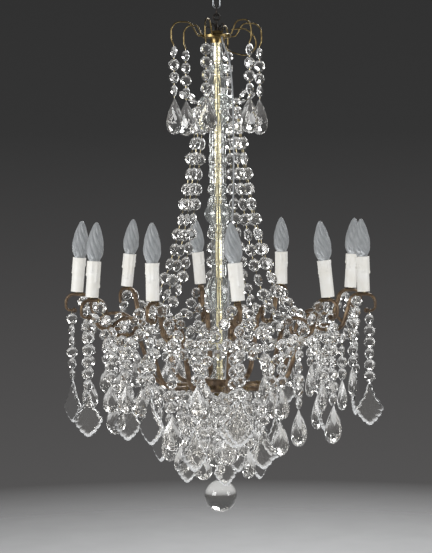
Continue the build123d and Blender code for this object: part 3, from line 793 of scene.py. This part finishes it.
def pear_ring(share, height, turned):
    """Points round a pear drop that is 1 long, hanging along +X from its tip."""
    ring = []
    for k in range(PEAR_POINTS):
        phi = math.tau * (k + turned) / PEAR_POINTS
        x = (1 - math.cos(phi)) / 2
        y = PEAR_WIDTH / 2 * PEAR_SWELL * math.sin(phi) * math.sin(phi / 2) ** 1.2
        ring.append((PEAR_MIDDLE + (x - PEAR_MIDDLE) * share, y * share, height * PEAR_THICK / 2))
    return ring


def pin_ring(end):
    """Points round one end of a pin that is 1 long and 1 thick."""
    return [(end, 0.5 * math.cos(a), 0.5 * math.sin(a)) for a in circle(PIN_SIDES)]


# Half the outline of a leaf, lobe by lobe from its tip: distance along it, share of half its width
LEAF_EDGE = [(0, 0.06), (0.05, 0.13), (0.1, 0.22), (0.14, 0.24), (0.17, 0.2), (0.22, 0.29), (0.27, 0.41)]
LEAF_EDGE += [(0.31, 0.42), (0.34, 0.4), (0.39, 0.57), (0.44, 0.73), (0.48, 0.74), (0.5, 0.72), (0.54, 0.89)]
LEAF_EDGE += [(0.58, 0.99), (0.62, 1), (0.66, 0.94), (0.67, 0.85), (0.71, 0.85), (0.76, 0.8), (0.79, 0.7)]
LEAF_EDGE += [(0.8, 0.6), (0.84, 0.58), (0.88, 0.5), (0.9, 0.4), (0.91, 0.31), (0.95, 0.25), (0.98, 0.08)]
# Rows of the rim from one flat side to the other: share of the outline, share of half the thickness
LEAF_RIM = [(0.82, -1), (0.88, -0.85), (0.95, -0.45), (1, 0), (0.95, 0.45), (0.88, 0.85), (0.82, 1)]
LEAF_WIDTH = 0.674
LEAF_THICK = 0.098
LEAF_MIDDLE = 0.58


def leaf_shape():
    """A flat leaf, 1 long, with a bevelled and scalloped rim that is left ground."""
    right = [(x / LEAF_EDGE[-1][0], LEAF_WIDTH / 2 * y) for x, y in LEAF_EDGE]
    edge = right + [(x, -y) for x, y in reversed(right)]
    count = len(edge)
    points = []
    for share, height in LEAF_RIM:
        z = height * LEAF_THICK / 2
        points += [Vector((LEAF_MIDDLE + (x - LEAF_MIDDLE) * share, y * share, z)) for x, y in edge]
    faces = []
    last = (len(LEAF_RIM) - 1) * count
    for low in range(0, last, count):
        for k in range(count):
            after = (k + 1) % count
            faces.append([low + k, low + after, low + count + after, low + count + k])
    faces.append(list(range(count))[::-1])
    faces.append([last + k for k in range(count)])
    rims = [2 <= k // count <= 3 for k in range(len(faces))]
    return points, faces, rims


CUTS = {
    "bead": hull([bead_ring(*row) for row in BEAD_CUT]),
    "pear": hull([pear_ring(*row) for row in PEAR_CUT]),
    "leaf": leaf_shape(),
    "pin": hull([pin_ring(-0.5), pin_ring(0.5)]),
}
print({name: len(cut[1]) for name, cut in CUTS.items()})

# %% [markdown]
# Each CAD node is taken apart into its loose solids. The longest and shortest directions of a solid's corner
# points say how it lies, and its proportions say what it is.

# %% Places of the crystals
# In metres: how thick a pin is drawn, the greatest width of a pin's solid and the greatest length of a bead
PIN = 0.0012
PIN_MOST = 0.004
BEAD_MOST = 0.035
SOLID_WELD = 1e-6
# Thickness as a share of the length: a ball has more, and a leaf has less
BALL_ROUND = 0.7
LEAF_FLAT = 0.16


def loose_solids(node):
    """The corner points of each separate solid in a CAD node."""
    mesh = bmesh.new()
    mesh.from_mesh(node.data)
    bmesh.ops.remove_doubles(mesh, verts=mesh.verts, dist=SOLID_WELD)
    waiting = set(mesh.verts)
    solids = []
    for first in mesh.verts:
        if first not in waiting:
            continue
        waiting.remove(first)
        found = [first]
        for vert in found:
            for edge in vert.link_edges:
                other = edge.other_vert(vert)
                if other in waiting:
                    waiting.remove(other)
                    found.append(other)
        solids.append(np.array([vert.co for vert in found]))
    mesh.free()
    return solids


def lie(points):
    """What a solid is, and the matrix that sets its cut shape in its place; a ball keeps its points."""
    off = points - points.mean(0)
    along, across, out = np.linalg.eigh(np.cov(off.T))[1][:, ::-1].T
    length, width, thick = (np.ptp(off @ axis) for axis in (along, across, out))
    size = (length, length, length)
    hang = 0
    if width < PIN_MOST:
        kind = "pin"
        size = (length, PIN, PIN)
    elif thick > BALL_ROUND * length:
        return "ball", points
    elif length < BEAD_MOST:
        kind = "bead"
        flat = off - np.outer(off @ out, out)
        corner = flat[np.argmax(np.linalg.norm(flat, axis=1))]
        corner = corner / np.linalg.norm(corner)
        along = corner * math.cos(math.pi / 8) + np.cross(out, corner) * math.sin(math.pi / 8)
        size = [np.ptp(off @ along)] * 3
    else:
        kind = "leaf" if thick < LEAF_FLAT * length else "pear"
        hang = length / 2
        reach = off @ along
        if reach[np.argmax(np.abs(off @ across))] < (reach.min() + reach.max()) / 2:
            along = -along
    axes = along, np.cross(out, along), out
    middle = sum(axis * ((off @ axis).max() + (off @ axis).min()) / 2 for axis in axes)
    matrix = np.eye(4)
    matrix[:3, :3] = np.array(axes).T * size
    matrix[:3, 3] = points.mean(0) + middle - along * hang
    return kind, Matrix(matrix.tolist())


print("solids in the cage", len(loose_solids(frame["nodes"]["cage_strands"])))

# %% Crystals and pins
STRUNG = ("arm_drop", "crown_drop", "cage", "swag", "bowl", "link_pins", "ball")
BALL_RADIUS = 34.0
BALL_NECK = 6.0
BALL_ROWS = 60
BALL_SIDES = 72


def glass_ball(points):
    """The ball with its neck, as rings of a fine turned skin that fits the CAD solid."""
    low = points.min(0)[2] / MM
    top = points.max(0)[2] / MM
    middle = low + BALL_RADIUS
    profile = []
    for k in range(1, BALL_ROWS):
        lift = math.pi * k / BALL_ROWS
        if BALL_RADIUS * math.sin(lift) > BALL_NECK or lift < 1:
            profile.append((BALL_RADIUS * math.sin(lift), middle - BALL_RADIUS * math.cos(lift)))
    shoulder = profile[-1][1]
    profile += [(BALL_NECK * 1.05, shoulder + 0.8), (BALL_NECK, shoulder + 3)]
    profile += [(BALL_NECK, top - 0.6), (BALL_NECK * 0.9, top)]
    return [[around(radius, angle, height) for angle in circle(BALL_SIDES)] for radius, height in profile]


def made(name, points, faces, rims, finishes):
    """An object from points and faces, in one finish or with its rims in a second one."""
    data = bpy.data.meshes.new(name)
    data.from_pydata(points, [], faces)
    data.update()
    for finish in finishes:
        data.materials.append(finish)
    data.polygons.foreach_set("material_index", rims)
    return shown(name, data)


body_of = {node: body for body, nodes in frame["record"]["behaviour"]["bodies"].items() for node in nodes}
crystal_nodes = [name for name in frame["nodes"] if name.startswith(STRUNG)]
clear = []
counts = {}
for name in crystal_nodes:
    cut = ([], [], [])
    pins = ([], [], [])
    for solid in loose_solids(frame["nodes"][name]):
        kind, matrix = lie(solid)
        counts[kind] = counts.get(kind, 0) + 1
        if kind == "ball":
            mesh = bmesh.new()
            skin(mesh, glass_ball(solid))
            ball_piece = shown("clear_glass_ball", smooth_mesh(mesh, "clear_glass_ball", crystal))
            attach(ball_piece, body_of[name])
            clear.append(ball_piece)
            continue
        points, faces, rims = pins if kind == "pin" else cut
        base = len(points)
        points += [matrix @ Vector(p) for p in CUTS[kind][0]]
        faces += [[base + k for k in face] for face in CUTS[kind][1]]
        rims += CUTS[kind][2] if kind != "pin" else [False] * len(CUTS[kind][1])
    stands_for = False
    for label, shape, finishes, slot in (
        ("cut_crystals", cut, (crystal, ground), "crystal"),
        ("wire_pins", pins, (brass,), "aged_brass"),
    ):
        if not shape[0]:
            continue
        piece = made(f"{label}_{name}", *shape, finishes)
        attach(piece, body_of[name])
        if not stands_for:
            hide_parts(name)
            stands_for = True
        if shape is cut:
            clear.append(piece)
print("crystals and pins", counts)

# %% [markdown]
# ## Cutting the column
# The column's pieces were turned smooth and then cut with flat panels from top to bottom on a wheel. Each is
# measured from its CAD solid, height by height, and built again with twelve panels: a ring has a point at
# each panel's edge, and the upright edges stay sharp. The walls are thick, so the slim parts are solid round
# the bore and only the bulbs are hollow. The panels break up the brass stem that is seen through them.

# %% Cut column
COLUMN = ["top_glass_sleeve", "glass_bell", "strand_dish", "upper_glass_tube"]
COLUMN += ["glass_knop", "glass_vase", "glass_base_sleeve"]
PANELS = 12
# In metres: radius of the bore, thickness of the wall, height of a row and half the gap between two pieces
BORE = 0.0066
WALL = 0.009
COLUMN_STEP = 0.0015
COLUMN_JOINT = 0.00015


def outer_radii(node):
    """The outer radius of a turned solid at each height, from the edges of its mesh."""
    points = np.array([vert.co for vert in node.data.vertices])
    ends = np.array([edge.vertices for edge in node.data.edges])
    low, high = points[ends[:, 0]], points[ends[:, 1]]
    bottom = points[:, 2].min() + COLUMN_JOINT
    top = points[:, 2].max() - COLUMN_JOINT
    radii = []
    for height in np.linspace(bottom, top, max(4, round((top - bottom) / COLUMN_STEP))):
        crossing = (low[:, 2] - height) * (high[:, 2] - height) < 0
        a, b = low[crossing], high[crossing]
        met = a + (b - a) * ((height - a[:, 2]) / (b[:, 2] - a[:, 2]))[:, None]
        radii.append((np.hypot(met[:, 0], met[:, 1]).max(), height))
    return radii


spokes = [math.tau * (j + 0.5) / PANELS for j in range(PANELS)]
flat_share = math.cos(math.pi / PANELS)
for name in COLUMN:
    radii = outer_radii(frame["nodes"][name])
    inside = [(max(BORE, radius * flat_share - WALL), height) for radius, height in reversed(radii)]
    mesh = bmesh.new()
    rings = []
    for radius, height in radii + inside + radii[:1]:
        rings.append([Vector((radius * math.cos(a), radius * math.sin(a), height)) for a in spokes])
    skin(mesh, rings, closed_ends=False)
    bmesh.ops.remove_doubles(mesh, verts=mesh.verts, dist=WELD)
    for edge in mesh.edges:
        edge.smooth = abs(edge.verts[0].co.z - edge.verts[1].co.z) < WELD
    piece = shown("cut_" + name, smooth_mesh(mesh, "cut_" + name, column_glass))
    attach(piece, "frame")
    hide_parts(name)
    clear.append(piece)
print("column pieces", len(COLUMN))

# %% [markdown]
# ## Small wires
# The strands hang from loops of thin wire round the arms. On the crown one wire has been bent down into a
# loop, and a few blackened hooks for more strands stand round the hook's shank. All are drawn wire, so a
# round ring is carried along each line.

# %% Wires
WIRE_SIDES = 10
LOOP_POINTS = 24
LOOP_WIRE = 0.7
# Where a loop goes round the arm: distance from the axis, height, half width and half thickness of the bar
LOOPS = [(52, -827, 6.4, 5.2), (84, -827, 6.4, 5.2)]
LOOPS += [(225, -708, 5.6, 4.6), (246, -708, 5.6, 4.6), (292, -634, 5.6, 4.6)]
# The bent wire as seen from the front, which stands before the axis and slants forwards to the right
BENT_WIRE = [(22, -93), (14, -106), (22, -124), (42, -133), (64, -135)]
BENT_WIRE += [(80, -121), (78, -99), (58, -82), (30, -83)]
BENT_FORWARD = 20
BENT_SLANT = 0.12
BENT_RADIUS = 1.4
# Two shapes of hook as distance from the axis and height, each set three times round the shank
HOOKS = [[(5, -88), (13, -77), (22, -74), (26, -79)], [(4, -86), (7, -72), (13, -68), (17, -72)]]
HOOK_TURNS = [50, 170, 290]
HOOK_SWINGS = (0, 60)
HOOK_RADIUS = 1.3


def wire(mesh, points, radius, closed=False):
    """A round wire along a line of points."""
    rings = []
    across = None
    count = len(points)
    turns = circle(WIRE_SIDES)
    for k, point in enumerate(points):
        before = points[k - 1] if k or closed else point
        after = points[(k + 1) % count] if k < count - 1 or closed else point
        along = (after - before).normalized()
        across = along.orthogonal() if across is None else across
        across = (across - along * across.dot(along)).normalized()
        out = along.cross(across)
        rings.append([point + (across * math.cos(a) + out * math.sin(a)) * radius for a in turns])
    skin(mesh, rings + rings[:1] if closed else rings, closed_ends=not closed)


def eased(corners, steps=8):
    """A smooth line through corner points."""
    points = []
    for k in range(len(corners) - 1):
        a, b, c, d = (Vector(corners[min(max(k + i, 0), len(corners) - 1)]) for i in (-1, 0, 1, 2))
        slope = (c - a) / 2
        bend = a - b * 2.5 + c * 2 - d / 2
        twist = b * 1.5 - a / 2 - c * 1.5 + d / 2
        for step in range(steps):
            t = step / steps
            points.append(b + slope * t + bend * t**2 + twist * t**3)
    return points + [Vector(corners[-1])]


mesh = bmesh.new()
for radius, height, wide, deep in LOOPS:
    spots = [(radius, wide * math.cos(a), height + deep * math.sin(a)) for a in circle(LOOP_POINTS)]
    wire(mesh, [Vector(spot) * MM for spot in spots], LOOP_WIRE * MM, closed=True)
loops_mesh = smooth_mesh(mesh, "strand_loops_01", brown_brass)
for k in range(ARMS):
    piece = shown(f"strand_loops_{k + 1:02d}", loops_mesh)
    piece.matrix_world = Matrix.Rotation(math.radians(ARM_ANGLES[k] - 90), 4, "Z")
    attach(piece, "frame")

mesh = bmesh.new()
corners = [Vector((x, -BENT_FORWARD - BENT_SLANT * x, z)) * MM for x, z in BENT_WIRE]
wire(mesh, eased(corners), BENT_RADIUS * MM)
bent = shown("bent_crown_wire", smooth_mesh(mesh, "bent_crown_wire", brown_brass))
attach(bent, "frame")

mesh = bmesh.new()
for corners, swing in zip(HOOKS, HOOK_SWINGS):
    for turn in HOOK_TURNS:
        spun = Matrix.Rotation(math.radians(turn + swing), 3, "Z")
        wire(mesh, eased([spun @ (Vector((x, 0, z)) * MM) for x, z in corners]), HOOK_RADIUS * MM)
hooks = shown("crown_strand_hooks", smooth_mesh(mesh, "crown_strand_hooks", iron))
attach(hooks, "frame")
print("loops", len(LOOPS) * ARMS, "hooks", len(HOOK_TURNS) * len(HOOKS))

# %% [markdown]
# ## Clear glass and light
# A lamp shines through clear crystal, and the crystal's own shadow is faint. So the clear pieces are left out
# of the lamps' shadows and of the soft light that bounces between matt surfaces.

# %% Light through the glass
for piece in clear:
    piece.visible_shadow = False
    piece.visible_diffuse = False
print("clear pieces", len(clear))

# %% [markdown]
# ## The studio
# The lamp hangs over a pale floor before a dark backdrop, against which clear glass shows best. The floor
# fades out with distance, so that no edge shows behind the object, and it can be looked through from below.
# Camera, mirror and glass rays see the backdrop, darkest overhead, and matt surfaces get an even soft light.

# %% Floor
FLOOR_HEIGHT = -1.5
FLOOR_RADIUS = 2.7
FADE_START = 0.9
FADE_END = 2.6
MOTTLE = 120.0
floor_finish, tree, where = new_finish("pale_studio_floor_painted")
mottle = cloud(tree, where, MOTTLE, 4)
tint = shades(tree, mottle, [(0.3, "d3d4d5"), (0.7, "d9dadb")])
paint = add(tree, "BsdfPrincipled", {"Base Color": tint, "Roughness": 0.8})
nothing = add(tree, "BsdfTransparent")
distance = add(tree, "VectorMath", {0: where}, operation="LENGTH")
fade = spread(tree, distance.outputs["Value"], 0, 1, start=FADE_START, end=FADE_END)
under = add(tree, "NewGeometry").outputs["Backfacing"]
gone = add(tree, "Math", {0: fade, 1: under}, operation="MAXIMUM")
edge = add(tree, "MixShader", {0: gone.outputs[0], 1: paint.outputs["BSDF"], 2: nothing.outputs["BSDF"]})
add(tree, "OutputMaterial", {"Surface": edge.outputs["Shader"]})
mesh = bmesh.new()
bmesh.ops.create_circle(mesh, cap_ends=True, radius=FLOOR_RADIUS, segments=96)
floor = shown("studio_floor", smooth_mesh(mesh, "studio_floor", floor_finish))
floor.location.z = FLOOR_HEIGHT
print("floor at", FLOOR_HEIGHT)

# %% World and lamps
# Colours of the room from straight below to straight above
WALLS = [(0.0, "8f8e8d"), (0.45, "4b4a4a"), (0.52, "343434"), (0.7, "262626"), (1.0, "131313")]
SOFT_LIGHT = 0.38
# Each lamp's name, place, side and power
LAMPS = [
    ("key_softbox", (-2.6, -2.1, 0.2), 1.6, 72),
    ("fill_softbox", (2.7, -1.5, -0.2), 1.3, 36),
    ("back_softbox", (0.9, 2.6, 0.9), 1.2, 50),
]
LIT_POINT = (0, 0, -0.6)

room = bpy.data.worlds.new("studio_room")
room.use_nodes = True
tree = room.node_tree
tree.nodes.clear()
height = add(tree, "SeparateXYZ", {"Vector": add(tree, "TexCoord").outputs["Generated"]})
walls = shades(tree, spread(tree, height.outputs["Z"], 0, 1, start=-1, end=1), WALLS)
paths = add(tree, "LightPath")
seen = paths.outputs["Is Camera Ray"]
for kind in ("Is Glossy Ray", "Is Transmission Ray"):
    seen = add(tree, "Math", {0: seen, 1: paths.outputs[kind]}, operation="MAXIMUM").outputs[0]
soft = add(tree, "Background", {"Color": linear("ffffff"), "Strength": SOFT_LIGHT})
backdrop = add(tree, "Background", {"Color": walls, "Strength": 1.0})
both = add(tree, "MixShader", {0: seen, 1: soft.outputs[0], 2: backdrop.outputs[0]})
add(tree, "OutputWorld", {"Surface": both.outputs["Shader"]})
bpy.context.scene.world = room

for name, spot, size, watts in LAMPS:
    light = bpy.data.lights.new(name, "AREA")
    light.shape = "SQUARE"
    light.size = size
    light.energy = watts
    lamp = bpy.data.objects.new(name, light)
    bpy.context.scene.collection.objects.link(lamp)
    lamp.location = spot
    lamp.rotation_euler = (Vector(LIT_POINT) - Vector(spot)).to_track_quat("-Z", "Y").to_euler()
bpy.context.scene.view_settings.view_transform = "Standard"
print("lamps", len(LAMPS))

# %% [markdown]
# ## Closing
# At the end the scene is brought up to date, so that every piece stands where it was put.

# %% Finish
bpy.context.view_layer.update()
